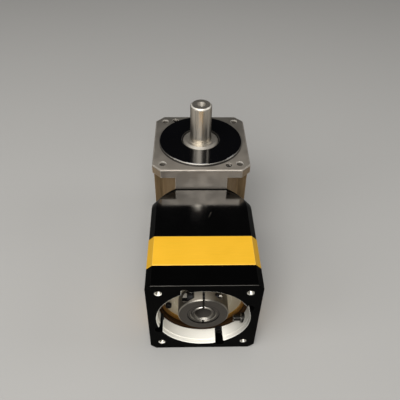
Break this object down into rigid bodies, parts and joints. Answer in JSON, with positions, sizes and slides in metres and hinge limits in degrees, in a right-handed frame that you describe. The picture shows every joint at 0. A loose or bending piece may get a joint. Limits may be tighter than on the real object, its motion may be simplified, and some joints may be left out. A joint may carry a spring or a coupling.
{
  "type": "planetary gear reducer",
  "caption": "Right-angle planetary gear reducer: square steel output flange with round shaft, black gear block, gold ring-gear band and black motor plate with a clamp hub.",
  "frame": {"origin": "centre of the output flange's mounting face", "axes": "+Z along the output shaft, away from the flange; -Y towards the motor; X across"},
  "size_m": [0.0904, 0.2003, 0.153],
  "materials": {
    "housing_steel": "ground, satin",
    "black_disc": "black anodised, gloss",
    "black_anodised": "black anodised, gloss",
    "gold_anodised": "gold anodised, satin",
    "bare_aluminium": "machined",
    "bare_steel": "ground",
    "gear_steel": "hobbed and hardened",
    "bearing_steel": "polished",
    "black_screw": "black oxide",
    "rubber": "matt",
    "bronze": "machined",
    "hub_steel": "turned"
  },
  "bodies": {
    "housing": {"access_plugs": "bare_steel", "bearing_retaining_ring": "bare_steel", "bottom_cover": "housing_steel", "bottom_cover_screws": "black_screw", "front_bearing_outer": "bearing_steel", "housing_screws": "black_screw", "input_bearing_outer": "bearing_steel", "input_bearing_seals": "rubber", "input_cover": "bare_aluminium", "input_cover_screws": "black_screw", "jack_screws": "black_screw", "lower_bearing_outer": "bearing_steel", "motor_adapter": "black_anodised", "outer_spacer": "bare_steel", "output_cover": "black_disc", "output_housing": "housing_steel", "output_seal": "rubber", "pinion_housing": "black_anodised", "rear_bearing_outer": "bearing_steel", "ring_gear": "gear_steel", "ring_housing": "gold_anodised", "tie_screws": "black_screw", "upper_bearing_outer": "bearing_steel"},
    "input": {"input_shaft": "bare_steel", "shaft_bushing": "bare_steel", "clamp_collar": "hub_steel", "clamp_screw": "black_screw", "input_bearing_inner": "bearing_steel"},
    "output": {"output_shaft": "bare_steel", "crown_gear": "gear_steel", "gear_key": "bare_steel", "gear_spacer": "bare_steel", "gear_retaining_ring": "bare_steel", "upper_bearing_inner": "bearing_steel", "lower_bearing_inner": "bearing_steel"},
    "carrier": {"pinion_shaft": "gear_steel", "front_bearing_inner": "bearing_steel", "rear_bearing_inner": "bearing_steel", "inner_spacer": "bare_steel", "planet_carrier": "gear_steel", "carrier_key": "bare_steel", "carrier_washer": "bare_steel", "carrier_screw": "black_screw", "carrier_front_plate": "bare_steel", "carrier_plate_screws": "black_screw", "planet_pins": "bare_steel"},
    "planet_1": {"planet_gear_1": "gear_steel", "planet_bush_1": "bronze"},
    "planet_2": {"planet_gear_2": "gear_steel", "planet_bush_2": "bronze"},
    "planet_3": {"planet_gear_3": "gear_steel", "planet_bush_3": "bronze"},
    "upper_rollers": {"upper_bearing_rollers": "bearing_steel"},
    "lower_rollers": {"lower_bearing_rollers": "bearing_steel"},
    "front_rollers": {"front_bearing_rollers": "bearing_steel"},
    "rear_rollers": {"rear_bearing_rollers": "bearing_steel"},
    "input_balls": {"input_bearing_balls": "bearing_steel"}
  },
  "joints": [
    {"name": "input_spin", "type": "hinge", "parent": "housing", "child": "input", "pos_m": [0, -0.14, -0.06675], "axis": [0, 1, 0], "continuous": true},
    {"name": "output_spin", "type": "hinge", "parent": "housing", "child": "output", "pos_m": [0, 0, 0], "axis": [0, 0, 1], "continuous": true},
    {"name": "carrier_spin", "type": "hinge", "parent": "housing", "child": "carrier", "pos_m": [0, -0.1, -0.06675], "axis": [0, 1, 0], "continuous": true},
    {"name": "planet_1_spin", "type": "hinge", "parent": "carrier", "child": "planet_1", "pos_m": [0, -0.1155, -0.048], "axis": [0, 1, 0], "continuous": true},
    {"name": "planet_2_spin", "type": "hinge", "parent": "carrier", "child": "planet_2", "pos_m": [-0.01624, -0.1155, -0.07612], "axis": [0, 1, 0], "continuous": true},
    {"name": "planet_3_spin", "type": "hinge", "parent": "carrier", "child": "planet_3", "pos_m": [0.01624, -0.1155, -0.07612], "axis": [0, 1, 0], "continuous": true},
    {"name": "upper_rollers_spin", "type": "hinge", "parent": "housing", "child": "upper_rollers", "pos_m": [0, 0, -0.0175], "axis": [0, 0, 1], "continuous": true},
    {"name": "lower_rollers_spin", "type": "hinge", "parent": "housing", "child": "lower_rollers", "pos_m": [0, 0, -0.098], "axis": [0, 0, 1], "continuous": true},
    {"name": "front_rollers_spin", "type": "hinge", "parent": "housing", "child": "front_rollers", "pos_m": [0, -0.0645, -0.06675], "axis": [0, 1, 0], "continuous": true},
    {"name": "rear_rollers_spin", "type": "hinge", "parent": "housing", "child": "rear_rollers", "pos_m": [0, -0.0865, -0.06675], "axis": [0, 1, 0], "continuous": true},
    {"name": "input_balls_spin", "type": "hinge", "parent": "housing", "child": "input_balls", "pos_m": [0, -0.1315, -0.06675], "axis": [0, 1, 0], "continuous": true}
  ],
  "couplings": [
    {"joint": "output_spin", "follows": "input_spin", "ratio": 0.1},
    {"joint": "carrier_spin", "follows": "input_spin", "ratio": 0.2},
    {"joint": "planet_1_spin", "follows": "input_spin", "ratio": -0.53333},
    {"joint": "planet_2_spin", "follows": "input_spin", "ratio": -0.53333},
    {"joint": "planet_3_spin", "follows": "input_spin", "ratio": -0.53333},
    {"joint": "upper_rollers_spin", "follows": "input_spin", "ratio": 0.043387},
    {"joint": "lower_rollers_spin", "follows": "input_spin", "ratio": 0.04313},
    {"joint": "front_rollers_spin", "follows": "input_spin", "ratio": 0.084235},
    {"joint": "rear_rollers_spin", "follows": "input_spin", "ratio": 0.084235},
    {"joint": "input_balls_spin", "follows": "input_spin", "ratio": 0.45}
  ]
}
